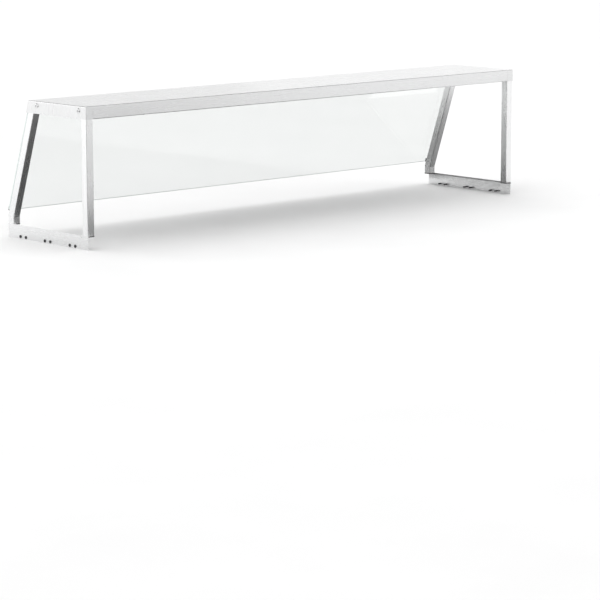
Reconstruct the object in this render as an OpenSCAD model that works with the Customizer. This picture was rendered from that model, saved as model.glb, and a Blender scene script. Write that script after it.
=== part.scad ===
// Sneeze guard for a buffet counter: a sheet steel overshelf on two end frames
// of square tube, with a clear panel on the customer side that leans out
// towards the counter's edge. It stands on the counter and is screwed to the
// counter's two ends.
// X runs along the counter, -Y is the serving side and +Y the customer side,
// Z is up. The origin is under the middle, level with the base plates' lower
// edges. Parts are drawn for the left end, at -X, and mirrored to the right.

/* [Shelf] */
// Length over the two end flanges
shelf_length = 1829; // [1200:1:2000]
// Depth of the flat top, front flange to rear bend
shelf_depth = 275; // [240:1:320]
// Height of the shelf top above the counter
shelf_rise = 384; // [330:1:450]
// Drop of the flanges folded down all round
flange_drop = 38; // [34:1:50]
// Thickness of the shelf's sheet steel
sheet = 1.5; // [1.2:0.1:2]
// Outer radius of the folds between top and flanges
bend_radius = 3; // [2.5:0.5:5]
// Width of the hem folded in under the front flange
hem_width = 10; // [6:1:14]

/* [End frames] */
// Side of the square tube
tube_size = 25; // [22:1:30]
// Wall of the square tube
tube_wall = 1.5; // [1.2:0.1:2]
// Outer corner radius of the square tube
tube_corner = 2; // [1.8:0.1:3]
// Lean of the rear posts and the panel from the vertical, in degrees
lean = 18.5; // [14:0.5:20]
// Height above the counter of the mitre where each rear post starts to lean
mitre_rise = 27; // [24:1:40]
// Drop of the base plates below the counter top
plate_drop = 38; // [30:1:60]
// Thickness of the base plates
plate_thickness = 3; // [2:0.5:4]
// Thickness of the nylon pads between the tubes and the counter
pad_thickness = 3; // [2:0.5:5]

/* [Clear panel] */
// Thickness of the toughened glass
glass_thickness = 6; // [5:0.5:8]
// Height of the glass, measured along its slope
glass_height = 352; // [300:1:354]
// Gap between each end of the glass and the end flange's inner face
glass_end_gap = 2; // [1:0.5:6]
// Thickness of the sealing tape, the edge trim and the clip pads
seal_thickness = 0.8; // [0.6:0.1:1.2]
// Length of the clip's lip over the glass
clip_lip = 10; // [6:1:20]
// Width of the clips
clip_width = 20; // [12:1:24]

/* [Fasteners] */
// Shank diameter of the shelf bolts
bolt_diameter = 8; // [6:0.5:8]
// Head diameter of the shelf bolts
bolt_head = 14.5; // [12:0.5:16]
// Distance from each front post to the axis of the bolt behind it
bolt_inset = 8.5; // [8:0.5:12]
// Distance between the two bolts of an end
bolt_spacing = 197; // [120:1:198]
// Thread diameter of the counter screws
screw_diameter = 5; // [4:0.5:5]
// Head diameter of the counter screws
screw_head = 9.5; // [8:0.5:10]
// Free length of the counter screws past the plate's inner face
screw_reach = 13; // [10:1:20]
// Distance between the two screws of a pair
screw_pair = 26; // [20:1:40]
// Distance between neighbouring pairs of screws
pair_pitch = 119; // [90:1:130]

/* [Hidden] */
$fn = 48;
eps = 0.01;
far = 600;

// Heights
counter_z = plate_drop;
tube_foot_z = counter_z + pad_thickness;
top_z = counter_z + shelf_rise;
under_z = top_z - sheet;
rail_z = under_z - tube_size / 2;
mitre_z = counter_z + mitre_rise;

// Places across the slope, measured square to it from the rear flange's outer face
glass_back = -sheet - seal_thickness;
glass_front = glass_back - glass_thickness;
post_back = glass_front - seal_thickness;
post_front = post_back - tube_size;
post_middle = post_back - tube_size / 2;

// Places along the slope, measured down it from the level of the shelf top
glass_top = -5;
glass_foot = glass_top - glass_height;
clip_shelf = glass_foot - seal_thickness - sheet;
mitre_along = (mitre_z - top_z - post_middle * sin(lean)) / cos(lean);
post_end = mitre_along - tube_size / 2 * tan(lean / 2);
clip_screw_along = (clip_shelf + post_end) / 2;

// Places along Y. The clip's outer corner is the part's rearmost point.
total_depth = shelf_depth - clip_shelf * sin(lean);
front_y = -total_depth / 2;
slope_y = front_y + shelf_depth;
post_y = front_y + sheet + tube_size / 2;
foot_y = slope_y + post_middle * cos(lean) - mitre_along * sin(lean);
plate_front_y = post_y - tube_size / 2;
plate_back_y = foot_y + tube_size / 2;
plate_middle_y = (plate_front_y + plate_back_y) / 2;
bolt_front_y = post_y + tube_size / 2 + bolt_inset;
bolt_back_y = bolt_front_y + bolt_spacing;

// Places along X at the left end
end_x = -shelf_length / 2;
tube_x = end_x + sheet;
post_x = tube_x + tube_size / 2;
glass_x = tube_x + glass_end_gap;

// Fasteners. Play is on the radius, and a tip is the free end past the last piece.
hole_play = 0.2;
thread_play = 0.05;
screw_z = 6.5;
screw_head_height = 3.4;
screw_neck = screw_diameter - 0.5;
screw_point = 1;
bolt_head_height = 4.4;
bolt_tip = 2.4;
socket_across = 5;
washer_thickness = 1.6;
washer_diameter = 16;
nut_across = 13;
nut_height = 6.5;
nut_chamfer = 1;
bolt_length = sheet + tube_size + washer_thickness + nut_height + bolt_tip;
clip_screw_diameter = 4;
clip_screw_head = 7;
clip_screw_head_height = 2.4;
clip_screw_tip = 4;

// Glass, trim and tape
glass_ease = 0.8;
trim_leg = 12;
seal_width = 15;
seal_foot = glass_foot + 2;
seal_head = glass_top - trim_leg - 1;

// Pads, seams and the stiffener. Cuts run past the faces they go through by cut_over.
cut_over = 1;
plug_depth = 10;
plug_play = 0.2;
seam_inset = 26;
seam_width = 0.5;
seam_depth = 0.4;
hem_end = end_x + tube_size + 2.5;
hat_sheet = 1.2;
hat_height = 20;
hat_crown = 46;
hat_brim = 15;
hat_end_gap = 3;

// Points of an arc, for the folds
function arc(cy, cz, r, a0, a1, steps = 6) =
  [for (i = [0 : steps]) let (a = a0 + (a1 - a0) * i / steps) [cy + r * cos(a), cz + r * sin(a)]];

// Section of the shelf from front to back, taken in by some depth all round
function shelf_side(inset, drop) = concat(
  [[inset, -drop]],
  arc(bend_radius, -bend_radius, bend_radius - inset, 180, 90),
  arc(shelf_depth + bend_radius * (tan(lean) - 1 / cos(lean)), -bend_radius,
      bend_radius - inset, 90, lean),
  [[shelf_depth + drop * tan(lean) - inset / cos(lean), -drop]]
);

// Section of the shelf from end to end
function shelf_end(inset, drop) = concat(
  [[end_x + inset, -drop]],
  arc(end_x + bend_radius, -bend_radius, bend_radius - inset, 180, 90),
  arc(-end_x - bend_radius, -bend_radius, bend_radius - inset, 90, 0),
  [[-end_x - inset, -drop]]
);

// Stands an outline drawn in Y and Z up and runs it along X, centred
module along_x(length) {
  rotate([90, 0, 90]) linear_extrude(length, center = true) children();
}

// Moves children from the slope's own axes to the part's: Y square to the glass, Z up it
module on_slope() {
  translate([0, slope_y, top_z]) rotate([lean, 0, 0]) children();
}

// Points a child drawn along +Z so that it goes in from the left end, along +X
module into_left(y, z, x) {
  translate([x, y, z]) rotate([0, 90, 0]) children();
}

module rounded_square(side, radius) {
  square([side, side - 2 * radius], center = true);
  square([side - 2 * radius, side], center = true);
  for (x = [-1, 1], y = [-1, 1])
    translate([x, y] * (side / 2 - radius)) circle(r = radius, $fn = 32);
}

// Square tube standing on z = 0
module tube(length) {
  linear_extrude(length) difference() {
    rounded_square(tube_size, tube_corner);
    rounded_square(tube_size - 2 * tube_wall, tube_corner - tube_wall);
  }
}

// Slab that fills everything above the mitre plane of the rear post
module above_mitre() {
  translate([post_x, foot_y, mitre_z]) rotate([lean / 2, 0, 0])
    translate([-far / 2, -far / 2, 0]) cube(far);
}

// Domed head standing on z = 0
module dome(diameter, height) {
  radius = (diameter * diameter / 4 + height * height) / (2 * height);
  intersection() {
    cylinder(d = diameter, h = height);
    translate([0, 0, height - radius]) sphere(r = radius, $fn = 96);
  }
}

// Pan head with a cross recess, standing on z = 0
module pan_head(diameter, height) {
  difference() {
    union() {
      cylinder(d = diameter, h = height * 0.45);
      translate([0, 0, height * 0.45 - eps]) dome(diameter, height * 0.55 + eps);
    }
    for (a = [0, 90]) rotate([0, 0, a])
      translate([0, 0, height]) cube([diameter * 0.5, diameter * 0.12, height * 0.9], center = true);
  }
}

// The overshelf: one sheet with its flanges folded down and a hem at the front
module top_shelf() {
  color([0.80, 0.81, 0.81]) difference() {
    union() {
      difference() {
        shelf_block(0, flange_drop);
        shelf_block(sheet, flange_drop + far);
      }
      translate([hem_end, front_y + sheet - eps, top_z - flange_drop])
        cube([-2 * hem_end, hem_width - sheet + eps, sheet]);
    }
    for (y = [bolt_front_y, bolt_back_y])
      into_left(y, rail_z, end_x - cut_over)
        cylinder(d = bolt_diameter + 2 * hole_play, h = shelf_length + 2 * cut_over);
    for (side = [-1, 1])
      translate([side * (shelf_length / 2 - seam_inset), front_y, top_z - far - bend_radius])
        translate([-seam_width / 2, -eps, 0]) cube([seam_width, seam_depth, far]);
  }
}

module shelf_block(inset, drop) {
  translate([0, front_y, top_z]) intersection() {
    along_x(shelf_length + 2) polygon(shelf_side(inset, drop));
    rotate([90, 0, 0]) translate([0, 0, -far]) linear_extrude(2 * far)
      polygon(shelf_end(inset, drop));
  }
}

// Hat section welded under the shelf between the end frames
module shelf_stiffener() {
  color([0.70, 0.71, 0.71])
    translate([0, front_y + shelf_depth / 2, under_z])
      along_x(shelf_length - 2 * (sheet + tube_size + hat_end_gap)) {
        translate([-hat_crown / 2, -hat_height]) difference() {
          square([hat_crown, hat_height]);
          translate([hat_sheet, hat_sheet]) square([hat_crown - 2 * hat_sheet, hat_height]);
        }
        for (brim_y = [-hat_crown / 2 - hat_brim, hat_crown / 2 - hat_sheet])
          translate([brim_y, -hat_sheet]) square([hat_brim + hat_sheet, hat_sheet]);
      }
}

module front_post() {
  color([0.78, 0.79, 0.79])
    translate([post_x, post_y, tube_foot_z]) tube(under_z - tube_foot_z);
}

// Short upright foot under the leaning rear post, mitred to it
module rear_foot() {
  color([0.74, 0.75, 0.75]) difference() {
    translate([post_x, foot_y, tube_foot_z]) tube(2 * mitre_rise);
    above_mitre();
  }
}

// Leaning rear post, from the mitre to the underside of the shelf
module rear_post() {
  color([0.78, 0.79, 0.79]) difference() {
    intersection() {
      on_slope() translate([post_x, post_middle, -far]) tube(far + tube_size);
      above_mitre();
      translate([post_x - tube_size, -far, 0]) cube([2 * tube_size, 2 * far, under_z]);
    }
    on_slope() translate([post_x, post_back + cut_over, clip_screw_along]) rotate([90, 0, 0])
      cylinder(d = clip_screw_diameter + 2 * hole_play, h = tube_wall + 2 * cut_over);
  }
}

// Rail along the end of the shelf that the shelf is bolted to
module top_rail() {
  start_y = post_y + tube_size / 2;
  color([0.72, 0.73, 0.73]) difference() {
    translate([post_x, start_y, rail_z]) rotate([-90, 0, 0]) tube(shelf_depth);
    on_slope() translate([post_x - far / 2, post_front, -far / 2]) cube(far);
    for (y = [bolt_front_y, bolt_back_y])
      into_left(y, rail_z, end_x)
        cylinder(d = bolt_diameter + 2 * hole_play, h = 2 * tube_size);
  }
}

// Flat plate under the two tubes of an end frame, down the counter's end
module base_plate() {
  color([0.80, 0.81, 0.82]) difference() {
    translate([tube_x, plate_front_y, 0])
      cube([plate_thickness, plate_back_y - plate_front_y, tube_foot_z]);
    counter_screw_places()
      translate([0, 0, -cut_over])
        cylinder(d = screw_diameter + 2 * hole_play, h = plate_thickness + 2 * cut_over);
  }
}

// Three pairs of screw places, on the plate's outer face, pointing inwards
module counter_screw_places() {
  for (pair = [-1, 0, 1], half = [-0.5, 0.5])
    into_left(plate_middle_y + pair * pair_pitch + half * screw_pair, screw_z, tube_x) children();
}

// Toughened glass lying on the back of the rear posts, with its edges eased
module glass_panel() {
  ease = glass_ease;
  color([0.85, 0.93, 0.92, 0.35]) on_slope()
    along_x(-2 * glass_x) polygon([
      [glass_front, glass_foot + ease], [glass_front + ease, glass_foot],
      [glass_back - ease, glass_foot], [glass_back, glass_foot + ease],
      [glass_back, glass_top - ease], [glass_back - ease, glass_top],
      [glass_front + ease, glass_top], [glass_front, glass_top - ease],
    ]);
}

// Channel-shaped trim over the upper edge of the glass, held by the rear flange
module glass_top_trim() {
  color([0.25, 0.25, 0.26]) on_slope() along_x(-2 * glass_x) polygon([
    [post_back, glass_top - trim_leg], [glass_front, glass_top - trim_leg],
    [glass_front, glass_top], [glass_back, glass_top],
    [glass_back, glass_top - trim_leg], [-sheet, glass_top - trim_leg],
    [-sheet, glass_top + seal_thickness], [post_back, glass_top + seal_thickness],
  ]);
}

// Strip of tape between the rear post and the glass
module glass_seal() {
  color([0.35, 0.36, 0.37]) on_slope()
    translate([post_x - seal_width / 2, post_back, seal_foot])
      cube([seal_width, seal_thickness, seal_head - seal_foot]);
}

// Bent clip screwed to the rear post, holding up the lower edge of the glass
module glass_clip() {
  color([0.76, 0.77, 0.77]) on_slope() difference() {
    translate([post_x, 0, 0]) along_x(clip_width) polygon([
      [post_back, post_end], [post_back + sheet, post_end],
      [post_back + sheet, clip_shelf], [0, clip_shelf],
      [0, glass_foot + clip_lip], [-sheet, glass_foot + clip_lip],
      [-sheet, clip_shelf + sheet], [post_back, clip_shelf + sheet],
    ]);
    translate([post_x, post_back + sheet + cut_over, clip_screw_along]) rotate([90, 0, 0])
      cylinder(d = clip_screw_diameter + 2 * hole_play, h = sheet + 2 * cut_over);
  }
}

// Soft lining between the clip and the glass
module clip_pad() {
  color([0.20, 0.20, 0.21]) on_slope()
    translate([post_x, 0, 0]) along_x(clip_width) polygon([
      [post_back, glass_foot - seal_thickness], [-sheet, glass_foot - seal_thickness],
      [-sheet, glass_foot + clip_lip], [glass_back, glass_foot + clip_lip],
      [glass_back, glass_foot], [post_back, glass_foot],
    ]);
}

module clip_screw() {
  color([0.74, 0.75, 0.75]) on_slope()
    translate([post_x, post_back + sheet, clip_screw_along]) rotate([-90, 0, 0]) {
      pan_head(clip_screw_head, clip_screw_head_height);
      translate([0, 0, -sheet - tube_wall - clip_screw_tip])
        cylinder(d = clip_screw_diameter, h = sheet + tube_wall + clip_screw_tip + eps);
    }
}

// Button head bolts with hexagon sockets, right through the rail
module shelf_bolts() {
  color([0.82, 0.83, 0.83])
    for (y = [bolt_front_y, bolt_back_y]) into_left(y, rail_z, end_x) {
      cylinder(d = bolt_diameter, h = bolt_length);
      mirror([0, 0, 1]) difference() {
        dome(bolt_head, bolt_head_height);
        translate([0, 0, bolt_head_height / 2])
          cylinder(d = socket_across / cos(30), h = bolt_head_height, $fn = 6);
      }
    }
}

module shelf_washers() {
  color([0.74, 0.75, 0.75])
    for (y = [bolt_front_y, bolt_back_y])
      into_left(y, rail_z, tube_x + tube_size) difference() {
        cylinder(d = washer_diameter, h = washer_thickness);
        translate([0, 0, -cut_over])
          cylinder(d = bolt_diameter + 2 * hole_play, h = washer_thickness + 2 * cut_over);
      }
}

module shelf_nuts() {
  corner = nut_across / cos(30);
  color([0.70, 0.71, 0.71])
    for (y = [bolt_front_y, bolt_back_y])
      into_left(y, rail_z, tube_x + tube_size + washer_thickness) difference() {
        intersection() {
          cylinder(d = corner, h = nut_height, $fn = 6);
          union() {
            cylinder(d = corner + nut_chamfer, h = nut_height - nut_chamfer);
            translate([0, 0, nut_height - nut_chamfer - eps])
              cylinder(d1 = corner + nut_chamfer, d2 = nut_across - 0.4, h = nut_chamfer + eps);
          }
        }
        translate([0, 0, -cut_over])
          cylinder(d = bolt_diameter + 2 * thread_play, h = nut_height + 2 * cut_over);
      }
}

// Pan head screws through the base plate into the counter's end
module counter_screws() {
  color([0.10, 0.10, 0.10]) counter_screw_places() {
    mirror([0, 0, 1]) pan_head(screw_head, screw_head_height);
    cylinder(d = screw_neck, h = plate_thickness + eps);
    translate([0, 0, plate_thickness]) cylinder(d = screw_diameter, h = screw_reach - screw_point);
    translate([0, 0, plate_thickness + screw_reach - screw_point])
      cylinder(d1 = screw_diameter, d2 = screw_diameter - 2 * screw_point, h = screw_point);
  }
}

// Nylon pad that closes the foot of a tube beside the base plate
module foot_pad(y) {
  inner = tube_size - 2 * tube_wall - 2 * plug_play;
  color([0.08, 0.08, 0.08]) {
    translate([tube_x + plate_thickness, y - tube_size / 2, counter_z])
      cube([tube_size - plate_thickness, tube_size, pad_thickness]);
    translate([post_x - inner / 2, y - inner / 2, tube_foot_z - eps])
      cube([inner, inner, plug_depth]);
  }
}

module front_post_left() { front_post(); }
module front_post_right() { mirror([1, 0, 0]) front_post(); }
module rear_post_left() { rear_post(); }
module rear_post_right() { mirror([1, 0, 0]) rear_post(); }
module rear_foot_left() { rear_foot(); }
module rear_foot_right() { mirror([1, 0, 0]) rear_foot(); }
module top_rail_left() { top_rail(); }
module top_rail_right() { mirror([1, 0, 0]) top_rail(); }
module base_plate_left() { base_plate(); }
module base_plate_right() { mirror([1, 0, 0]) base_plate(); }
module glass_seal_left() { glass_seal(); }
module glass_seal_right() { mirror([1, 0, 0]) glass_seal(); }
module glass_clip_left() { glass_clip(); }
module glass_clip_right() { mirror([1, 0, 0]) glass_clip(); }
module clip_pad_left() { clip_pad(); }
module clip_pad_right() { mirror([1, 0, 0]) clip_pad(); }
module clip_screw_left() { clip_screw(); }
module clip_screw_right() { mirror([1, 0, 0]) clip_screw(); }
module shelf_bolts_left() { shelf_bolts(); }
module shelf_bolts_right() { mirror([1, 0, 0]) shelf_bolts(); }
module shelf_washers_left() { shelf_washers(); }
module shelf_washers_right() { mirror([1, 0, 0]) shelf_washers(); }
module shelf_nuts_left() { shelf_nuts(); }
module shelf_nuts_right() { mirror([1, 0, 0]) shelf_nuts(); }
module counter_screws_left() { counter_screws(); }
module counter_screws_right() { mirror([1, 0, 0]) counter_screws(); }
module front_foot_pad_left() { foot_pad(post_y); }
module front_foot_pad_right() { mirror([1, 0, 0]) foot_pad(post_y); }
module rear_foot_pad_left() { foot_pad(foot_y); }
module rear_foot_pad_right() { mirror([1, 0, 0]) foot_pad(foot_y); }

top_shelf();
shelf_stiffener();
front_post_left();
front_post_right();
rear_post_left();
rear_post_right();
rear_foot_left();
rear_foot_right();
top_rail_left();
top_rail_right();
base_plate_left();
base_plate_right();
glass_panel();
glass_top_trim();
glass_seal_left();
glass_seal_right();
glass_clip_left();
glass_clip_right();
clip_pad_left();
clip_pad_right();
clip_screw_left();
clip_screw_right();
shelf_bolts_left();
shelf_bolts_right();
shelf_washers_left();
shelf_washers_right();
shelf_nuts_left();
shelf_nuts_right();
counter_screws_left();
counter_screws_right();
front_foot_pad_left();
front_foot_pad_right();
rear_foot_pad_left();
rear_foot_pad_right();
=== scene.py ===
import math

import bmesh
import bpy
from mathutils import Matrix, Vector


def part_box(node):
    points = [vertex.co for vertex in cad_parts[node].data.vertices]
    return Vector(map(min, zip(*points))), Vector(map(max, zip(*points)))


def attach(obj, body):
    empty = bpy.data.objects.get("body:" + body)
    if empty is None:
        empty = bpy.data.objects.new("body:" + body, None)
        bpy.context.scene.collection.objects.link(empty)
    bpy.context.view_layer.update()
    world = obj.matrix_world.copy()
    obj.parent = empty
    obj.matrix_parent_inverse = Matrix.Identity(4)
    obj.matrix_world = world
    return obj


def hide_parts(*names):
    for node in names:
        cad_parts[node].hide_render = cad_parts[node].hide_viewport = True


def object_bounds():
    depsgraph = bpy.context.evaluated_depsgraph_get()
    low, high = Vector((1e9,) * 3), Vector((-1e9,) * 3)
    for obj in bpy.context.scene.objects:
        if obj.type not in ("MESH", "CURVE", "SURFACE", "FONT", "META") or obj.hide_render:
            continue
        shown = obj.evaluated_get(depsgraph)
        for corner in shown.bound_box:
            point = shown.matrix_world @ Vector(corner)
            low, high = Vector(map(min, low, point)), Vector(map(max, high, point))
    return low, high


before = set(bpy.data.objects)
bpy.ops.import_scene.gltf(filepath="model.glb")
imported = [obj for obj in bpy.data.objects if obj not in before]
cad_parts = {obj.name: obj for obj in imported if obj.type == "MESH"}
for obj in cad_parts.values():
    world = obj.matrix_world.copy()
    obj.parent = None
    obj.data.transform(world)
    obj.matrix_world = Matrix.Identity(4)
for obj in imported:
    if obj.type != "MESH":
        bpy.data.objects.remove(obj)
cad_low, cad_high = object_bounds()

# Camera. It stands well back from the serving side, off the left end and a
# little above the shelf, with a long lens that keeps the tubes nearly parallel.
camera_place = (-5.7756, -6.2948, 1.2031)
camera_tilt = math.radians(80.156)
camera_turn = math.radians(-43.112)
lens_length = 161.38
farthest_seen = 200
bpy.ops.object.camera_add(location=camera_place, rotation=(camera_tilt, 0, camera_turn))
camera = bpy.context.object
camera.name = "camera"
camera.data.lens = lens_length
camera.data.clip_end = farthest_seen
bpy.context.scene.camera = camera


# Studio floor. A wide sweep of matt white board that the guard stands on, with
# no edge in sight.
def shader_nodes(name):
    """A new material, its node tree and its main shader."""
    finish = bpy.data.materials.new(name)
    finish.use_nodes = True
    return finish, finish.node_tree, finish.node_tree.nodes["Principled BSDF"]


def own_coords(tree):
    """Where a point lies in the object's own frame."""
    return tree.nodes.new("ShaderNodeTexCoord").outputs["Object"]


def clouds(tree, source, scale, detail=2.0):
    """Soft uneven noise over the surface, from 0 to 1."""
    noise = tree.nodes.new("ShaderNodeTexNoise")
    noise.inputs["Scale"].default_value = scale
    noise.inputs["Detail"].default_value = detail
    tree.links.new(source, noise.inputs["Vector"])
    return noise.outputs["Fac"]


def spread(tree, source, low, high):
    """Stretches a noise value to run between two others."""
    ranged = tree.nodes.new("ShaderNodeMapRange")
    ranged.inputs["From Min"].default_value = 0.3
    ranged.inputs["From Max"].default_value = 0.7
    ranged.inputs["To Min"].default_value = low
    ranged.inputs["To Max"].default_value = high
    tree.links.new(source, ranged.inputs["Value"])
    return ranged.outputs["Result"]


def blend_colours(tree, source, dark, light):
    """A colour between two others, by a value from 0 to 1."""
    mix = tree.nodes.new("ShaderNodeMix")
    mix.data_type = "RGBA"
    mix.inputs["A"].default_value = (*dark, 1)
    mix.inputs["B"].default_value = (*light, 1)
    tree.links.new(source, mix.inputs["Factor"])
    return mix.outputs["Result"]


floor_size = 160
bpy.ops.mesh.primitive_plane_add(size=floor_size)
floor = bpy.context.object
floor.name = "studio_floor"
board, tree, shader = shader_nodes("matt_white_board")
shade = spread(tree, clouds(tree, own_coords(tree), scale=3.0), 0.0, 1.0)
tree.links.new(blend_colours(tree, shade, (0.90, 0.90, 0.90), (0.92, 0.92, 0.92)),
               shader.inputs["Base Color"])
shader.inputs["Roughness"].default_value = 0.9
floor.data.materials.append(board)


# Studio light. A pale room, soft boxes overhead, at both sides and in front, and
# grey flags out of sight that the steel mirrors, as on a product table.
room = bpy.data.worlds.new("pale_room")
room_light = 1.12
bpy.context.scene.world = room
room.use_nodes = True
room.node_tree.nodes["Background"].inputs["Color"].default_value = (1.0, 1.0, 1.0, 1)
room.node_tree.nodes["Background"].inputs["Strength"].default_value = room_light
bpy.context.scene.view_settings.view_transform = "Standard"


def soft_box(name, middle, aim, width, height, power):
    """A flat soft light that faces a point."""
    bpy.ops.object.light_add(type="AREA", location=middle)
    box = bpy.context.object
    box.name = name
    box.rotation_euler = (Vector(aim) - Vector(middle)).to_track_quat("-Z", "Y").to_euler()
    box.data.shape = "RECTANGLE"
    box.data.size = width
    box.data.size_y = height
    box.data.energy = power


def flag(name, low, high, height, grey):
    """A level grey card between two corners. It is clear, but for what the steel mirrors."""
    bpy.ops.mesh.primitive_plane_add(size=1)
    card = bpy.context.object
    card.name = name
    card.location = ((low[0] + high[0]) / 2, (low[1] + high[1]) / 2, height)
    card.scale = (high[0] - low[0], high[1] - low[1], 1)
    paper, tree, shader = shader_nodes(name + "_paper")
    shader.inputs["Base Color"].default_value = (grey, grey, grey, 1)
    shader.inputs["Roughness"].default_value = 1.0
    path = tree.nodes.new("ShaderNodeLightPath")
    clear = tree.nodes.new("ShaderNodeBsdfTransparent")
    mix = tree.nodes.new("ShaderNodeMixShader")

    def worked_out(operation, *sources):
        """One step of arithmetic on one or two values."""
        step = tree.nodes.new("ShaderNodeMath")
        step.operation = operation
        for source, socket in zip(sources, step.inputs):
            tree.links.new(source, socket)
        return step.outputs[0]

    mirrored = worked_out("GREATER_THAN", path.outputs["Glossy Depth"])
    let_through = worked_out("MAXIMUM", path.outputs["Is Shadow Ray"], path.outputs["Is Diffuse Ray"])
    tree.links.new(worked_out("SUBTRACT", mirrored, let_through), mix.inputs["Fac"])
    tree.links.new(clear.outputs["BSDF"], mix.inputs[1])
    tree.links.new(shader.outputs["BSDF"], mix.inputs[2])
    tree.links.new(mix.outputs["Shader"], tree.nodes["Material Output"].inputs["Surface"])
    card.data.materials.append(paper)


guard_middle = (cad_low + cad_high) / 2
soft_box("soft_box_above", (-0.4, 0.0, 3.4), guard_middle, width=3.0, height=2.0, power=10)
soft_box("soft_box_right", (4.3, 3.2, 1.7), guard_middle, width=2.4, height=2.2, power=2.2)
soft_box("soft_box_left", (-2.7, 2.2, 1.0), guard_middle, width=1.8, height=1.5, power=8)
soft_box("soft_box_front", (3.0, -2.6, 0.6), guard_middle, width=1.3, height=0.9, power=1.2)

# Flags in the place of the counter, of the floor round it and of the ceiling
at_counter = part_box("front_foot_pad_left")[0].z - 0.002
at_floor = 0.012
at_ceiling = 2.6
flag("flag_low", (-0.88, -0.6), (0.93, 0.2), at_counter, grey=0.12)
flag("flag_low_right", (0.93, -0.19), (1.6, 0.2), at_counter, grey=0.30)
flag("flag_front", (-0.9, -1.3), (0.4, -0.6), at_floor, grey=0.50)
flag("flag_far", (0.3, -2.5), (0.9, -1.6), at_floor, grey=0.25)
flag("flag_rear_near", (-0.85, 0.2), (0.86, 0.55), at_floor, grey=0.30)
flag("flag_rear_far", (-0.85, 0.55), (0.86, 2.9), at_floor, grey=0.02)
flag("flag_corner", (-4.5, -4.5), (-1.0, -0.35), at_floor, grey=0.03)
flag("flag_high", (-2.2, -1.6), (3.6, 3.2), at_ceiling, grey=0.40)
flag("flag_high_left", (-2.4, 1.2), (-0.8, 3.3), at_ceiling - 0.05, grey=0.03)


# Base plates. Flat stainless bar that hangs down the counter's two ends and
# carries both tubes of an end frame: sawn, drilled for six screws and deburred.
def activate(piece):
    """Leaves one object selected and active."""
    bpy.ops.object.select_all(action="DESELECT")
    piece.select_set(True)
    bpy.context.view_layer.objects.active = piece


def settle(piece):
    """Turns an object's place, turn and size into its mesh."""
    activate(piece)
    bpy.ops.object.transform_apply(location=True, rotation=True, scale=True)
    return piece


def block(name, low, high):
    """A plain block between two corners."""
    low, high = Vector(low), Vector(high)
    bpy.ops.object.select_all(action="DESELECT")
    bpy.ops.mesh.primitive_cube_add(size=1, location=(low + high) / 2, scale=high - low)
    bpy.context.object.name = name
    return settle(bpy.context.object)


def rod(name, middle, axis, diameter, length, sides=48):
    """A plain round or many-sided bar, centred on a point."""
    bpy.ops.object.select_all(action="DESELECT")
    turn = Vector(axis).to_track_quat("Z", "Y").to_euler()
    bpy.ops.mesh.primitive_cylinder_add(vertices=sides, radius=diameter / 2, depth=length,
                                        location=middle, rotation=turn)
    bpy.context.object.name = name
    return settle(bpy.context.object)


def finish_modifier(piece, kind, **settings):
    """Adds a modifier to a piece, sets it and applies it."""
    activate(piece)
    bpy.ops.object.modifier_add(type=kind)
    modifier = piece.modifiers[-1]
    for setting, value in settings.items():
        setattr(modifier, setting, value)
    bpy.ops.object.modifier_apply(modifier=modifier.name)


def carve(piece, tool, operation="DIFFERENCE"):
    """Cuts a tool's shape out of a piece, joins it on or keeps what they share."""
    finish_modifier(piece, "BOOLEAN", object=tool, operation=operation, solver="MANIFOLD")
    bpy.data.objects.remove(tool)


def ease_edges(piece, width, steps=2, sharper_than=35):
    """Breaks a piece's sharp edges by a small round and shades it smooth."""
    activate(piece)
    bpy.ops.object.shade_smooth_by_angle(angle=math.radians(sharper_than))
    finish_modifier(piece, "BEVEL", width=width, segments=steps, limit_method="ANGLE",
                    angle_limit=math.radians(sharper_than), harden_normals=True,
                    miter_outer="MITER_ARC")


def satin_steel(name, grain, lean=0.0, dark=0.66, light=0.74, rough=0.27):
    """Brushed stainless steel with its grain along X, Y or Z, which may lean about X."""
    finish, tree, shader = shader_nodes(name)
    coords = own_coords(tree)

    def strokes(width, length, detail):
        """Long thin noise along the grain."""
        mapping = tree.nodes.new("ShaderNodeMapping")
        mapping.vector_type = "TEXTURE"
        mapping.inputs["Rotation"].default_value = (lean, 0, 0)
        mapping.inputs["Scale"].default_value = [length if axis == grain else width
                                                 for axis in "XYZ"]
        tree.links.new(coords, mapping.inputs["Vector"])
        return clouds(tree, mapping.outputs["Vector"], scale=1.0, detail=detail)

    def total(first, second, share):
        """Two noises mixed in one."""
        mix = tree.nodes.new("ShaderNodeMix")
        mix.inputs["Factor"].default_value = share
        tree.links.new(first, mix.inputs["A"])
        tree.links.new(second, mix.inputs["B"])
        return mix.outputs["Result"]

    fine = strokes(width=0.0005, length=0.12, detail=3.0)
    broad = strokes(width=0.006, length=0.7, detail=2.0)
    slow = clouds(tree, coords, scale=7.0, detail=3.0)
    patchy = total(broad, slow, share=0.5)
    tone = spread(tree, total(fine, patchy, share=0.32), 0.0, 1.0)
    steel_dark = (dark, dark * 1.004, dark * 1.008)
    steel_light = (light, light * 1.003, light * 1.006)
    tree.links.new(blend_colours(tree, tone, steel_dark, steel_light),
                   shader.inputs["Base Color"])
    tree.links.new(spread(tree, patchy, rough - 0.02, rough + 0.03),
                   shader.inputs["Roughness"])
    bump = tree.nodes.new("ShaderNodeBump")
    bump.inputs["Strength"].default_value = 0.25
    bump.inputs["Distance"].default_value = 0.00006
    tree.links.new(fine, bump.inputs["Height"])
    tree.links.new(bump.outputs["Normal"], shader.inputs["Normal"])
    shader.inputs["Metallic"].default_value = 1.0
    return finish


def hand_over(piece, material, slot, *nodes):
    """Gives a finished piece its material and its body, and hides the CAD nodes it stands for."""
    piece.data.materials.clear()
    piece.data.materials.append(material)
    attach(piece, "root")
    if nodes:
        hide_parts(*nodes)


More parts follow.
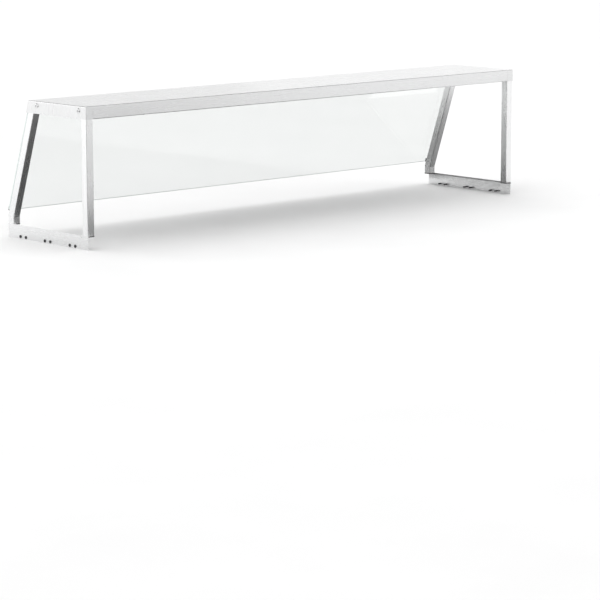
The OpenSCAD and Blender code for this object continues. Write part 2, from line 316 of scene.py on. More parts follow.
SIDES = {"left": -1, "right": 1}
plate_steel = satin_steel("plate_steel_along_y", "Y", dark=0.75, light=0.82)
screw_pair = 0.026
pair_pitch = 0.119
screw_hole = 0.0054
drill_length = 0.01
plate_ease = 0.0004
for side in SIDES:
    low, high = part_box(f"base_plate_{side}")
    plate = block(f"end_plate_{side}", low, high)
    screws_low, screws_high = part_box(f"counter_screws_{side}")
    screw_height = (screws_low.z + screws_high.z) / 2
    plate_middle = (low + high) / 2
    screw_places = [plate_middle.y + pair * pair_pitch + half * screw_pair
                    for pair in (-1, 0, 1) for half in (-0.5, 0.5)]
    for screw_y in screw_places:
        carve(plate, rod("hole", (plate_middle.x, screw_y, screw_height), (1, 0, 0),
                         screw_hole, drill_length))
    ease_edges(plate, plate_ease)
    hand_over(plate, plate_steel, "stainless_bar", f"base_plate_{side}")


# Tubes. Square stainless tube with a drawn round on its corners, mitred under
# the rear posts and sanded along its length before it is welded.
def refinish(node, material):
    """Gives a piece that stays as the frame has it its finished look."""
    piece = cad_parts[node]
    piece.data.materials.clear()
    piece.data.materials.append(material)


lean = math.radians(18.5)
tube_size = 0.025
tube_steel = {
    "front_post": satin_steel("tube_steel_upright", "Z", dark=0.77, light=0.84),
    "rear_foot": satin_steel("tube_steel_foot", "Z", dark=0.77, light=0.84),
    "rear_post": satin_steel("tube_steel_leaning", "Z", lean=lean, dark=0.77, light=0.84),
    "top_rail": satin_steel("tube_steel_along_y", "Y", dark=0.64, light=0.72),
}
for kind, steel in tube_steel.items():
    for side in SIDES:
        refinish(f"{kind}_{side}", steel)


# Dressed welds. Where a tube meets its plate, its foot or its rail flush, the
# weld is ground down and brushed over, which leaves a low band of finer steel.
seam_steel = satin_steel("dressed_weld_steel", "Z", dark=0.76, light=0.86, rough=0.22)
seam_proud = 0.00015
seam_round = 0.000135
seam_width = 0.0026
tube_round = 0.002
tube_wall = 0.0015


def pick(kind, test):
    """Selects only the corners, edges or faces of the edited mesh that pass a test."""
    bpy.ops.mesh.select_mode(type=kind)
    bpy.ops.mesh.select_all(action="DESELECT")
    shape = bmesh.from_edit_mesh(bpy.context.object.data)
    for part in {"VERT": shape.verts, "EDGE": shape.edges, "FACE": shape.faces}[kind]:
        if test(part):
            part.select_set(True)
    shape.select_flush_mode()
    bmesh.update_edit_mesh(bpy.context.object.data)


def runs_along(edge, axis):
    """True for an edge parallel to an axis, given as 0, 1 or 2."""
    way = edge.verts[1].co - edge.verts[0].co
    return abs(way[axis]) > 0.999 * way.length


def weld_band(name, low, high):
    """A low band of dressed weld between two corners, sunk into the joint."""
    band = block(name, [min(pair) for pair in zip(low, high)],
                 [max(pair) for pair in zip(low, high)])
    ease_edges(band, seam_round)
    hand_over(band, seam_steel, "stainless_tube")


for side, way in SIDES.items():
    foot_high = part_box(f"rear_foot_{side}")[1]
    post_low, post_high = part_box(f"front_post_{side}")
    rail_low, rail_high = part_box(f"top_rail_{side}")
    outer_x = way * max(abs(post_low.x), abs(post_high.x))
    inner_x = outer_x - way * tube_size
    joint_z = post_low.z
    for end, near_y in (("front", post_low.y), ("rear", foot_high.y - tube_size)):
        weld_band(f"plate_weld_{end}_{side}",
                  (outer_x + way * seam_proud, near_y - seam_proud, joint_z - seam_width / 2),
                  (outer_x - way * tube_wall, near_y + tube_size + seam_proud,
                   joint_z + seam_width / 2))
    weld_band(f"rail_weld_{side}",
              (inner_x - way * seam_proud, post_high.y - seam_width / 2,
               rail_low.z + tube_round),
              (inner_x + way * tube_wall, post_high.y + seam_width / 2,
               rail_high.z - tube_round))

    # The mitre's weld runs all round the tube, in a plane that halves the bend
    foot_middle = Vector((outer_x - way * tube_size / 2, foot_high.y - tube_size / 2, 0))
    mitre_z = foot_high.z - tube_size / 2 * math.tan(lean / 2)
    half = tube_size / 2 + seam_proud
    deep = half / math.cos(lean / 2)
    ring = block(f"mitre_weld_{side}", (-half, -deep, -seam_width / 2),
                 (half, deep, seam_width / 2))
    bpy.ops.object.editmode_toggle()
    pick("EDGE", lambda edge: runs_along(edge, 2))
    bpy.ops.mesh.bevel(offset=tube_round + seam_proud, segments=8, affect="EDGES")
    bpy.ops.object.editmode_toggle()
    inside = tube_size / 2 - tube_wall
    carve(ring, block("inside", (-inside, -inside, -drill_length),
                      (inside, inside, drill_length)))
    ease_edges(ring, seam_round)
    ring.rotation_euler.x = lean / 2
    ring.location = (foot_middle.x, foot_middle.y, mitre_z)
    hand_over(settle(ring), seam_steel, "stainless_tube")


# Fillet welds. The rail's underside is welded into the corner that it makes
# with each post, by hand, so the torch leaves a row of small ripples.
bead_steel = satin_steel("weld_bead_steel", "X", dark=0.60, light=0.74, rough=0.24)
bead_radius = 0.0019
ripple_swell = 1.13


def smooth(piece, sharper_than=30):
    """Shades a piece smooth, apart from its sharp edges."""
    activate(piece)
    bpy.ops.object.shade_smooth_by_angle(angle=math.radians(sharper_than))


def weld_bead(name, start, end):
    """A rippled bead along a joint from one point to another."""
    start, end = Vector(start), Vector(end)
    ripple = bead_radius * 0.6
    bpy.ops.object.select_all(action="DESELECT")
    bpy.ops.mesh.primitive_circle_add(vertices=14, radius=bead_radius / ripple_swell,
                                      enter_editmode=True)
    for rise, swell in ((0.65, ripple_swell), (0.35, 1 / ripple_swell)):
        bpy.ops.mesh.extrude_region_move(
            TRANSFORM_OT_translate={"value": (0, 0, ripple * rise)})
        bpy.ops.transform.resize(value=(swell, swell, 1))
    bpy.ops.object.editmode_toggle()
    bead = bpy.context.object
    bead.name = name
    finish_modifier(bead, "ARRAY", count=round((end - start).length / ripple),
                    use_relative_offset=False, use_constant_offset=True,
                    constant_offset_displace=(0, 0, ripple), use_merge_vertices=True,
                    merge_threshold=ripple / 100)
    bpy.ops.object.editmode_toggle()
    bpy.ops.mesh.select_all(action="SELECT")
    bpy.ops.mesh.fill_holes(sides=0)
    bpy.ops.mesh.select_all(action="SELECT")
    bpy.ops.mesh.normals_make_consistent(inside=False)
    bpy.ops.object.editmode_toggle()
    smooth(bead, 50)
    bead.rotation_euler = (end - start).to_track_quat("Z", "Y").to_euler()
    bead.location = start
    hand_over(settle(bead), bead_steel, "stainless_tube")


shelf_low, shelf_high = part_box("top_shelf")
sheet = 0.0015
seal = 0.0008
glass_thickness = 0.006
slope_top = shelf_high.z
slope_y = shelf_high.y - (slope_top - shelf_low.z) * math.tan(lean)
glass_front = -sheet - seal - glass_thickness
post_back = glass_front - seal
post_front = post_back - tube_size
for side, way in SIDES.items():
    rail_low, rail_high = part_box(f"top_rail_{side}")
    corner_gap = tube_round + bead_radius
    rear_y = (slope_y + post_front * math.cos(lean)
              + (slope_top - rail_low.z + post_front * math.sin(lean)) * math.tan(lean))
    for end, joint_y in (("front", rail_low.y), ("rear", rear_y)):
        weld_bead(f"rail_bead_{end}_{side}", (rail_low.x + corner_gap, joint_y, rail_low.z),
                  (rail_high.x - corner_gap, joint_y, rail_low.z))


# Stiffener. A hat section of thin stainless sheet, folded on a press and spot
# welded by its brims under the shelf, so that the long sheet doesn't sag.
touch = 1e-6


def bare_edge(name, start, end):
    """A single edge between two points, left in edit mode with its edge selected."""
    bpy.ops.object.select_all(action="DESELECT")
    bpy.ops.mesh.primitive_plane_add(size=1, location=(0, 0.5, 0))
    piece = settle(bpy.context.object)
    piece.name = name
    bpy.ops.object.editmode_toggle()
    pick("VERT", lambda corner: corner.co.y > 0.5)
    bpy.ops.mesh.delete(type="VERT")
    shape = bmesh.from_edit_mesh(piece.data)
    shape.verts.ensure_lookup_table()
    for corner, place in zip(sorted(shape.verts, key=lambda v: v.co.x), (start, end)):
        corner.co = place
    bmesh.update_edit_mesh(piece.data)
    bpy.ops.mesh.select_all(action="SELECT")
    return piece


def folded_strip(name, x_ends, path, thickness, fold, corner=0.0):
    """Sheet folded along a path of (y, z) points. Its thickness lies to the path's left."""
    piece = bare_edge(name, (x_ends[0], *path[0]), (x_ends[1], *path[0]))
    for here, there in zip(path, path[1:]):
        step = (0, there[0] - here[0], there[1] - here[1])
        bpy.ops.mesh.extrude_region_move(TRANSFORM_OT_translate={"value": step})
    outward = Vector((0, path[1][1] - path[0][1], path[0][0] - path[1][0]))
    bpy.ops.mesh.select_all(action="SELECT")
    bpy.ops.mesh.normals_make_consistent(inside=False)
    leg_middle = (Vector(path[0]) + Vector(path[1])) / 2
    first = min(bmesh.from_edit_mesh(piece.data).faces,
                key=lambda face: (face.calc_center_median().yz - leg_middle).length)
    if first.normal.dot(outward) < 0:
        bpy.ops.mesh.flip_normals()
    if corner:
        ends = (Vector(path[0]), Vector(path[-1]))
        pick("VERT", lambda v: min((v.co.yz - end).length for end in ends) < touch)
        bpy.ops.mesh.bevel(offset=corner, segments=6, affect="VERTICES")
    for before, here, after in zip(path, path[1:], path[2:]):
        way_in, way_out = Vector(here) - Vector(before), Vector(after) - Vector(here)
        turn = abs(way_in.angle_signed(way_out))
        pick("EDGE", lambda edge: all((v.co.yz - Vector(here)).length < touch
                                      for v in edge.verts))
        bpy.ops.mesh.bevel(offset=fold * math.tan(turn / 2), segments=6, affect="EDGES")
    bpy.ops.object.editmode_toggle()
    finish_modifier(piece, "SOLIDIFY", thickness=thickness, offset=-1, use_even_offset=True)
    return piece


hat_low, hat_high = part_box("shelf_stiffener")
hat_sheet = 0.0012
hat_fold = 0.002
hat_brim = 0.015
hat_ease = 0.0001
lower_z = hat_high.z - hat_sheet
hat_path = [(hat_low.y, lower_z), (hat_low.y + hat_brim, lower_z),
            (hat_low.y + hat_brim, hat_low.z), (hat_high.y - hat_brim, hat_low.z),
            (hat_high.y - hat_brim, lower_z), (hat_high.y, lower_z)]
stiffener = folded_strip("stiffener_hat", (hat_low.x, hat_high.x), hat_path, hat_sheet,
                         hat_fold)
ease_edges(stiffener, hat_ease, 1)

# Round electrode marks, pressed into both brims
spot_pitch = 0.075
spot_size = 0.006
spot_depth = 0.0002
tip_length = 0.002
spots = math.floor((hat_high.x - hat_low.x) / spot_pitch)
marks = rod("marks", (-(spots - 1) / 2 * spot_pitch, hat_low.y + hat_brim / 2,
                      lower_z - tip_length / 2 + spot_depth), (0, 0, 1), spot_size,
            tip_length, 24)
finish_modifier(marks, "ARRAY", count=spots, use_relative_offset=False,
                use_constant_offset=True, constant_offset_displace=(spot_pitch, 0, 0))
finish_modifier(marks, "ARRAY", count=2, use_relative_offset=False, use_constant_offset=True,
                constant_offset_displace=(0, hat_high.y - hat_low.y - hat_brim, 0))
carve(stiffener, marks)
smooth(stiffener)
hat_steel = satin_steel("hat_steel_along_x", "X", dark=0.60, light=0.68, rough=0.30)
hand_over(stiffener, hat_steel, "stainless_sheet", "shelf_stiffener")


# Overshelf. One sheet of brushed stainless with its four flanges folded down,
# the rear one to the slope of the glass, a hem in front and welded corners.
def second_finish(piece, material, test):
    """Gives the faces of a finished piece that pass a test another material."""
    piece.data.materials.append(material)
    activate(piece)
    bpy.ops.object.editmode_toggle()
    pick("FACE", test)
    piece.active_material_index = 1
    bpy.ops.object.material_slot_assign()
    bpy.ops.object.editmode_toggle()


fold = 0.003
corner_share = 0.4
hem_depth = 0.010
hem_end = 0.887
hem_fold = 0.0021
sheet_ease = 0.00015


def hem_line(edge):
    """True for an edge of the front flange's lower rim, between the hem's ends."""
    return all(v.co.z < shelf_low.z + touch and v.co.y < shelf_low.y + touch
               and abs(v.co.x) < hem_end + touch for v in edge.verts)


shelf = block("shelf_sheet", shelf_low, (shelf_high.x, slope_y, shelf_high.z))
bpy.ops.object.editmode_toggle()
pick("VERT", lambda corner: (corner.co.y > slope_y - touch
                             and corner.co.z < shelf_low.z + touch))
bpy.ops.transform.translate(value=(0, shelf_high.y - slope_y, 0))
pick("FACE", lambda face: face.normal.z < -0.9)
bpy.ops.mesh.delete(type="ONLY_FACE")
pick("EDGE", lambda edge: all(v.co.z > shelf_high.z - touch for v in edge.verts))
bpy.ops.transform.edge_bevelweight(value=1.0)
pick("EDGE", lambda edge: abs(edge.verts[0].co.z - edge.verts[1].co.z) > 0.01)
bpy.ops.transform.edge_bevelweight(value=corner_share)
bpy.ops.object.editmode_toggle()
finish_modifier(shelf, "BEVEL", width=fold, segments=8, limit_method="WEIGHT")
bpy.ops.object.editmode_toggle()
for cut_x in (-hem_end, hem_end):
    bpy.ops.mesh.select_all(action="SELECT")
    bpy.ops.mesh.bisect(plane_co=(cut_x, 0, 0), plane_no=(1, 0, 0))
pick("EDGE", hem_line)
bpy.ops.mesh.extrude_region_move(TRANSFORM_OT_translate={"value": (0, hem_depth, 0)})
pick("EDGE", hem_line)
bpy.ops.mesh.bevel(offset=hem_fold, segments=6, affect="EDGES")
bpy.ops.mesh.select_all(action="SELECT")
bpy.ops.mesh.normals_make_consistent(inside=False)
top_face = max(bmesh.from_edit_mesh(shelf.data).faces, key=lambda face: face.calc_area())
if top_face.normal.z < 0:
    bpy.ops.mesh.flip_normals()
bpy.ops.object.editmode_toggle()
finish_modifier(shelf, "SOLIDIFY", thickness=sheet, offset=-1, use_even_offset=True)

# Holes for the bolts in both end flanges, and a fine seam near each end in front
washers_low, washers_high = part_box("shelf_washers_left")
washer_size = washers_high.z - washers_low.z
bolt_z = (washers_low.z + washers_high.z) / 2
bolt_places = (washers_low.y + washer_size / 2, washers_high.y - washer_size / 2)
bolt_hole = 0.0084
for bolt_y in bolt_places:
    carve(shelf, rod("hole", (0, bolt_y, bolt_z), (1, 0, 0), bolt_hole,
                     shelf_high.x - shelf_low.x + drill_length))
seam_inset = 0.026
seam_cut = 0.0005
seam_deep = 0.0004
for way in SIDES.values():
    seam_x = way * (shelf_high.x - seam_inset)
    carve(shelf, block("seam", (seam_x - seam_cut / 2, shelf_low.y - 2 * seam_deep, 0),
                       (seam_x + seam_cut / 2, shelf_low.y + seam_deep,
                        shelf_high.z - fold)))
ease_edges(shelf, sheet_ease, 1, sharper_than=40)
finish_modifier(shelf, "WEIGHTED_NORMAL", keep_sharp=True)
sheet_steel = satin_steel("sheet_steel_along_x", "X", dark=0.66, light=0.72, rough=0.27)
end_steel = satin_steel("sheet_steel_down_the_ends", "Z", dark=0.67, light=0.70, rough=0.27)
hand_over(shelf, sheet_steel, "stainless_sheet", "top_shelf")
second_finish(shelf, end_steel, lambda face: abs(face.normal.x) > 0.75)


# Shelf bolts. Button head bolts with a hexagon socket and a rolled thread, in
# bright stainless, through the end flange and right through the rail. Small
# turned pieces are made in millimetres, so that their cuts are exact.
millimetre = 0.001


def lone_point(name, x, z):
    """A piece with a single corner, left in edit mode."""
    bpy.ops.object.select_all(action="DESELECT")
    bpy.ops.mesh.primitive_plane_add(size=1, enter_editmode=True)
    bpy.ops.mesh.select_mode(type="VERT")
    bpy.ops.mesh.select_all(action="SELECT")
    bpy.ops.mesh.merge(type="CENTER")
    bpy.ops.transform.translate(value=(x, 0, z))
    bpy.context.object.name = name
    return bpy.context.object


def draw_on(points):
    """Draws a line on from the selected corner, through (x, z) points."""
    for here, there in zip(points, points[1:]):
        step = (there[0] - here[0], 0, there[1] - here[1])
        bpy.ops.mesh.extrude_region_move(TRANSFORM_OT_translate={"value": step})
    bpy.ops.mesh.select_all(action="SELECT")


def close_up():
    """Merges doubled corners, closes open ends and turns the faces outward."""
    bpy.ops.mesh.select_all(action="SELECT")
    bpy.ops.mesh.remove_doubles(threshold=0.001)
    bpy.ops.mesh.fill_holes(sides=0)
    bpy.ops.mesh.select_all(action="SELECT")
    bpy.ops.mesh.normals_make_consistent(inside=False)
    bpy.ops.object.editmode_toggle()


def turned(name, profile, steps=48):
    """A solid or a ring turned about Z, through (radius, height) points."""
    piece = lone_point(name, *profile[0])
    draw_on(profile)
    bpy.ops.mesh.spin(steps=steps, angle=math.tau, center=(0, 0, 0), axis=(0, 0, 1))
    close_up()
    return piece


def dome(diameter, height, foot, steps=8):
    """Points over a domed head, from its top down to its rim."""
    ball = (diameter ** 2 / 4 + height ** 2) / (2 * height)
    rim = math.asin(diameter / 2 / ball)
    return [(ball * math.sin(rim * step / steps),
             foot + height - ball + ball * math.cos(rim * step / steps))
            for step in range(steps + 1)]


def thread(diameter, pitch, top, bottom):
    """A threaded bar down Z between two heights, chamfered at its lower end."""
    crest, root = diameter / 2, diameter / 2 - pitch * 0.6
    past_crest = crest * 1.02
    tooth = [(root, 0), (crest, pitch * 0.4), (crest, pitch * 0.5), (root, pitch * 0.9),
             (root, pitch)]
    bar = lone_point("thread", root, bottom - pitch)
    draw_on(tooth)
    bpy.ops.object.editmode_toggle()
    finish_modifier(bar, "SCREW", axis="Z", screw_offset=pitch, steps=20, render_steps=20,
                    iterations=math.ceil((top - bottom) / pitch) + 2)
    bpy.ops.object.editmode_toggle()
    close_up()
    chamfer = pitch * 0.7
    blank = turned("blank", [(0, top), (past_crest, top), (past_crest, bottom + chamfer),
                             (crest - chamfer, bottom), (0, bottom)], 40)
    carve(bar, blank, "INTERSECT")
    return bar


def placed_copy(piece, name, place, outward):
    """A copy with its own mesh, brought to metres, its head turned outward at a place."""
    activate(piece)
    bpy.ops.object.duplicate(linked=False)
    copy = bpy.context.object
    copy.name = name
    copy.scale = (millimetre, millimetre, millimetre)
    copy.rotation_euler = Vector(outward).to_track_quat("Z", "Y").to_euler()
    copy.location = place
    return settle(copy)


bolt_size = 8.0
bolt_pitch = 1.25
head_size = 14.5
head_height = 4.4
head_rim = 0.6
under_head = 0.3
bolt_length = (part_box("shelf_bolts_left")[1].x - shelf_low.x) / millimetre
thread_start = -20.0
thread_play = 0.1
shank_lap = 0.4
shank_chamfer = 0.8
shank_end = thread_start - 1
socket_across = 5.0
socket_reach = head_height * 1.1
bolt = turned("bolt", dome(head_size, head_height - head_rim, head_rim) + [
    (head_size / 2, under_head), (head_size / 2 - under_head, 0), (bolt_size / 2, 0),
    (bolt_size / 2, thread_start - shank_lap), (bolt_size / 2 - shank_chamfer, shank_end),
    (0, shank_end)])
carve(bolt, rod("socket", (0, 0, head_height), (0, 0, 1),
                socket_across / math.cos(math.pi / 6), socket_reach, 6))
carve(bolt, thread(bolt_size - thread_play, bolt_pitch, thread_start, -bolt_length), "UNION")
smooth(bolt)
bright_steel = satin_steel("turned_bright_steel", "Y", dark=0.70, light=0.80, rough=0.20)
for side, way in SIDES.items():
    for number, bolt_y in enumerate(bolt_places, 1):
        placed = placed_copy(bolt, f"shelf_bolt_{side}_{number}",
                             (way * shelf_high.x, bolt_y, bolt_z), (way, 0, 0))
        hand_over(placed, bright_steel, "bright_fastener", f"shelf_bolts_{side}")
bpy.data.objects.remove(bolt)


# Washers and nuts. A stamped washer and a hexagon nut, chamfered on both faces,
# on the inner side of the rail behind each shelf bolt.
washer_thickness = (washers_high.x - washers_low.x) / millimetre
washer_edge = 0.2
hole_radius = bolt_size / 2 + 0.2
rim_radius = washer_size / 2 / millimetre
washer = turned("washer", [
    (hole_radius, washer_edge), (hole_radius + washer_edge, 0), (rim_radius - washer_edge, 0),
    (rim_radius, washer_edge), (rim_radius, washer_thickness - washer_edge),
    (rim_radius - washer_edge, washer_thickness), (hole_radius + washer_edge, washer_thickness),
    (hole_radius, washer_thickness - washer_edge), (hole_radius, washer_edge)])
smooth(washer)

nuts_low, nuts_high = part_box("shelf_nuts_left")
nut_height = (nuts_high.x - nuts_low.x) / millimetre
nut_across = 13.0
nut_corner = nut_across / math.cos(math.pi / 6)
nut_chamfer = 0.9
nut_flat = nut_across / 2 - 0.4
past_corner = nut_corner / 2 + 0.2
bore = bolt_size / 2 + thread_play
bore_ease = 0.5
lead_in = 1.5
bore_low = bore_ease - lead_in
bore_high = nut_height - bore_low
past_face = 0.1
nut = rod("nut", (0, 0, nut_height / 2), (0, 0, 1), nut_corner, nut_height, 6)
carve(nut, turned("nut_blank", [
    (0, nut_height + past_face), (nut_flat, nut_height + past_face),
    (past_corner, nut_height - nut_chamfer), (past_corner, nut_chamfer),
    (nut_flat, -past_face), (0, -past_face)], 64), "INTERSECT")
carve(nut, turned("nut_bore", [
    (0, bore_low), (bore + lead_in, bore_low), (bore, bore_ease),
    (bore, nut_height - bore_ease), (bore + lead_in, bore_high), (0, bore_high)]))
smooth(nut)
for side, way in SIDES.items():
    for number, bolt_y in enumerate(bolt_places, 1):
        for kind, piece, face_x in (("washer", washer, abs(washers_high.x)),
                                    ("nut", nut, abs(nuts_high.x))):
            placed = placed_copy(piece, f"shelf_{kind}_{side}_{number}",
                                 (way * face_x, bolt_y, bolt_z), (way, 0, 0))
            hand_over(placed, bright_steel, "bright_fastener", f"shelf_{kind}s_{side}")
bpy.data.objects.remove(washer)
bpy.data.objects.remove(nut)


# Sealing tape. A strip of closed-cell foam tape on the back of each rear post,
# which the glass is pressed onto.
def soft_plastic(name, dark, light, rough, grain_size):
    """Moulded or extruded plastic, rubber or foam with a fine pebbled skin."""
    finish, tree, shader = shader_nodes(name)
    coords = own_coords(tree)
    skin = clouds(tree, coords, scale=1 / grain_size)
    slow = clouds(tree, coords, scale=40.0)
    tree.links.new(blend_colours(tree, spread(tree, slow, 0.0, 1.0), dark, light),
                   shader.inputs["Base Color"])
    tree.links.new(spread(tree, slow, rough - 0.06, rough + 0.06), shader.inputs["Roughness"])
    bump = tree.nodes.new("ShaderNodeBump")
    bump.inputs["Strength"].default_value = 0.5
    bump.inputs["Distance"].default_value = grain_size / 8
    tree.links.new(skin, bump.inputs["Height"])
    tree.links.new(bump.outputs["Normal"], shader.inputs["Normal"])
    return finish


tape_foam = soft_plastic("grey_foam_tape", (0.26, 0.27, 0.27), (0.34, 0.35, 0.35),
                         rough=0.8, grain_size=0.0008)
for side in SIDES:
    refinish(f"glass_seal_{side}", tape_foam)


# Edge trim. An extruded channel of soft black plastic, pushed over the upper
# edge of the glass before it goes in behind the shelf's rear flange.
glass_top = -0.005
glass_height = 0.352
glass_foot = glass_top - glass_height
glass_end_gap = 0.002
glass_end = shelf_high.x - sheet - glass_end_gap
trim_leg = 0.012
soft_fold = 0.0012
soft_ease = 0.0002
trim_rubber = soft_plastic("black_trim_rubber", (0.025, 0.025, 0.026), (0.04, 0.04, 0.041),
                           rough=0.62, grain_size=0.0006)


def lean_back(piece):
    """Moves a piece made square to the slope, at its top, onto the slope itself."""
    piece.rotation_euler.x = lean
    piece.location = (0, slope_y, slope_top)
    return settle(piece)


trim_path = [(-sheet, glass_top - trim_leg), (-sheet, glass_top + seal),
             (post_back, glass_top + seal), (post_back, glass_top - trim_leg)]
trim = folded_strip("glass_edge_trim", (-glass_end, glass_end), trim_path, seal, soft_fold)
ease_edges(trim, soft_ease, 2)
hand_over(lean_back(trim), trim_rubber, "edge_trim", "glass_top_trim")


# Glass. One sheet of clear toughened glass with ground edges and slightly
# rounded corners, lying on the tape and standing in the two clips.
glass_corner = 0.003
glass_ease = 0.0008
glass = block("glass_sheet", (-glass_end, glass_front, glass_foot),
              (glass_end, -sheet - seal, glass_top))
bpy.ops.object.editmode_toggle()
pick("EDGE", lambda edge: runs_along(edge, 1))
bpy.ops.mesh.bevel(offset=glass_corner, segments=6, affect="EDGES")
bpy.ops.object.editmode_toggle()
ease_edges(glass, glass_ease, 3, sharper_than=50)
clear_glass, tree, shader = shader_nodes("clear_toughened_glass")
smears = clouds(tree, own_coords(tree), scale=5.0, detail=3.0)
tree.links.new(blend_colours(tree, spread(tree, smears, 0.0, 1.0), (0.935, 0.950, 0.944),
                             (0.945, 0.958, 0.952)), shader.inputs["Base Color"])
tree.links.new(spread(tree, smears, 0.0, 0.02), shader.inputs["Roughness"])
shader.inputs["Transmission Weight"].default_value = 1.0
shader.inputs["IOR"].default_value = 1.5
hand_over(lean_back(glass), clear_glass, "toughened_glass", "glass_panel")
glass.visible_shadow = False

# The ground edges are matt, unlike the sheet's two faces
slope_out = Vector((0, math.cos(lean), math.sin(lean)))
ground_edge, tree, shader = shader_nodes("ground_glass_edge")
grit = clouds(tree, own_coords(tree), scale=900.0)
tree.links.new(blend_colours(tree, spread(tree, grit, 0.0, 1.0), (0.56, 0.63, 0.61),
                             (0.70, 0.76, 0.74)), shader.inputs["Base Color"])
tree.links.new(spread(tree, grit, 0.35, 0.50), shader.inputs["Roughness"])
second_finish(glass, ground_edge, lambda face: abs(face.normal.dot(slope_out)) < 0.8)


# Clips. A folded strip of stainless on the back of each rear post carries the
# lower edge of the glass, with a soft lining so that no steel touches it.
clip_width = 0.020
clip_lip = 0.010
clip_fold = 0.002
clip_corner = 0.003
clip_hole = 0.0044
clip_ease = 0.00025
clip_shelf = glass_foot - seal - sheet
clip_steel = satin_steel("clip_steel_up_the_slope", "Z", lean=lean, dark=0.66, light=0.76,
                         rough=0.24)
mitre_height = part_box("rear_foot_left")[1].z - tube_size / 2 * math.tan(lean / 2)
post_middle = post_back - tube_size / 2
mitre_along = (mitre_height - slope_top - post_middle * math.sin(lean)) / math.cos(lean)
tab_end = mitre_along - tube_size / 2 * math.tan(lean / 2)
clip_screw_along = (clip_shelf + tab_end) / 2
clip_path = [(post_back + sheet, tab_end), (post_back + sheet, clip_shelf),
             (0, clip_shelf), (0, glass_foot + clip_lip)]
lining_path = [(post_back, glass_foot - seal), (-sheet, glass_foot - seal),
               (-sheet, glass_foot + clip_lip)]
for side, way in SIDES.items():
    post_x = way * (glass_end + glass_end_gap - tube_size / 2)
    clip_ends = (post_x - clip_width / 2, post_x + clip_width / 2)
    clip = folded_strip(f"panel_clip_{side}", clip_ends, clip_path, sheet, clip_fold,
                        clip_corner)
    carve(clip, rod("hole", (post_x, post_back, clip_screw_along), (0, 1, 0), clip_hole,
                    drill_length))
    ease_edges(clip, clip_ease, 2)
    hand_over(lean_back(clip), clip_steel, "stainless_sheet", f"glass_clip_{side}")
    lining = folded_strip(f"clip_lining_{side}", clip_ends, lining_path, seal, soft_fold)
    ease_edges(lining, soft_ease, 2)
    hand_over(lean_back(lining), trim_rubber, "edge_trim", f"clip_pad_{side}")


# Clip screws. A small stainless pan head screw with a cross recess holds each
# clip to its post.
def pan_screw(name, head, height, size, pitch, plain, length):
    """A pan head screw: head up, then a plain neck and the thread below it."""
    rim = height * 0.42
    neck = size / 2 - pitch * 0.35
    lip = 0.2
    neck_end = -plain - lip
    screw = turned(name, dome(head * 0.96, height - rim, rim) + [
        (head / 2, rim * 0.8), (head / 2, lip), (head / 2 - lip, 0), (neck, 0),
        (neck, neck_end), (0, neck_end)], 40)
    blade_long, blade_wide = head * 0.25, head * 0.06
    for turn in (0, 90):
        blade = block("blade", (-blade_long, -blade_wide, height * 0.35),
                      (blade_long, blade_wide, height * 1.2))
        bpy.ops.object.editmode_toggle()
        pick("VERT", lambda corner: corner.co.z < height * 0.5)
        bpy.ops.transform.resize(value=(0.45, 0.7, 1))
        bpy.ops.object.editmode_toggle()
        blade.rotation_euler.z = math.radians(turn)
        carve(screw, settle(blade))
    carve(screw, thread(size, pitch, -plain, -length), "UNION")
    smooth(screw)
    return screw


clip_screw = pan_screw("clip_screw", head=7.0, height=2.4, size=4.0, pitch=0.7, plain=1.2,
                       length=7.0)
for side, way in SIDES.items():
    post_x = way * (glass_end + glass_end_gap - tube_size / 2)
    placed = placed_copy(clip_screw, f"clip_fixing_{side}",
                         (post_x, post_back + sheet, clip_screw_along), (0, 1, 0))
    hand_over(lean_back(placed), bright_steel, "bright_fastener", f"clip_screw_{side}")
bpy.data.objects.remove(clip_screw)


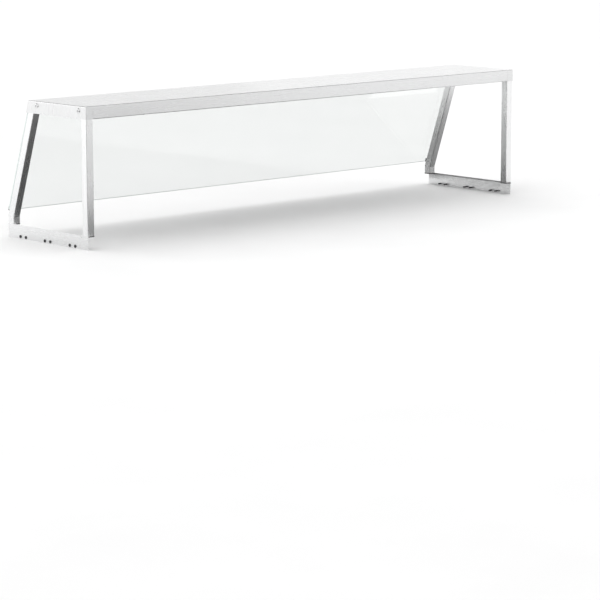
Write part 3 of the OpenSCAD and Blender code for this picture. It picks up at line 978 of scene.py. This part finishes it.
# Foot pads. Moulded black nylon: a flat pad under each tube, beside the base
# plate, and a ribbed plug that grips inside the tube.
nylon = soft_plastic("black_nylon", (0.014, 0.014, 0.015), (0.024, 0.024, 0.025),
                     rough=0.48, grain_size=0.0007)
pad_thickness = 0.003
plug_side = 0.0216
plug_sunk = 0.001
rib_rise = 0.0006
rib_width = 0.002
rib_short = 0.002
pad_ease = 0.0005
for side in SIDES:
    for end, tube_kind in (("front", "front_post"), ("rear", "rear_foot")):
        low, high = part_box(f"{end}_foot_pad_{side}")
        tube_low, tube_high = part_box(f"{tube_kind}_{side}")
        pad_top = low.z + pad_thickness
        pad = block(f"foot_plug_{end}_{side}", low, (high.x, high.y, pad_top))
        ease_edges(pad, pad_ease, 3)
        plug_x = (tube_low.x + tube_high.x) / 2
        plug_y = (low.y + high.y) / 2
        full, bare, thin = plug_side / 2, plug_side / 2 - rib_rise, rib_width / 2
        rib_top = high.z - rib_short
        for width, depth, top in ((bare, bare, high.z), (full, thin, rib_top),
                                  (thin, full, rib_top)):
            carve(pad, block("plug", (plug_x - width, plug_y - depth, pad_top - plug_sunk),
                             (plug_x + width, plug_y + depth, top)), "UNION")
        smooth(pad)
        hand_over(pad, nylon, "nylon", f"{end}_foot_pad_{side}")


# Counter screws. Six pan head screws at each end hold the guard down, in three
# pairs through the base plate. Their near-black colour is painted shade for the
# dark that shows at the holes.
# Near-black metal: painted shade for the dark holes at the screws, with random patches in it
painted_shade_screw_finish, tree, shader = shader_nodes("painted_shade_screw_steel")
patches = clouds(tree, own_coords(tree), scale=400.0, detail=3.0)
tree.links.new(blend_colours(tree, spread(tree, patches, 0.0, 1.0), (0.05, 0.05, 0.052),
                             (0.10, 0.10, 0.102)), shader.inputs["Base Color"])
tree.links.new(spread(tree, patches, 0.30, 0.46), shader.inputs["Roughness"])
shader.inputs["Metallic"].default_value = 1.0
plate_face = abs(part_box("base_plate_left")[0].x)
screw_length = (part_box("counter_screws_left")[1].x + plate_face) / millimetre
screw = pan_screw("screw", head=9.5, height=3.4, size=5.0, pitch=0.8, plain=3.0,
                  length=screw_length)
for side, way in SIDES.items():
    for number, screw_y in enumerate(screw_places, 1):
        placed = placed_copy(screw, f"counter_screw_{side}_{number}",
                             (way * plate_face, screw_y, screw_height), (way, 0, 0))
        hand_over(placed, painted_shade_screw_finish, "black_fastener", f"counter_screws_{side}")
bpy.data.objects.remove(screw)
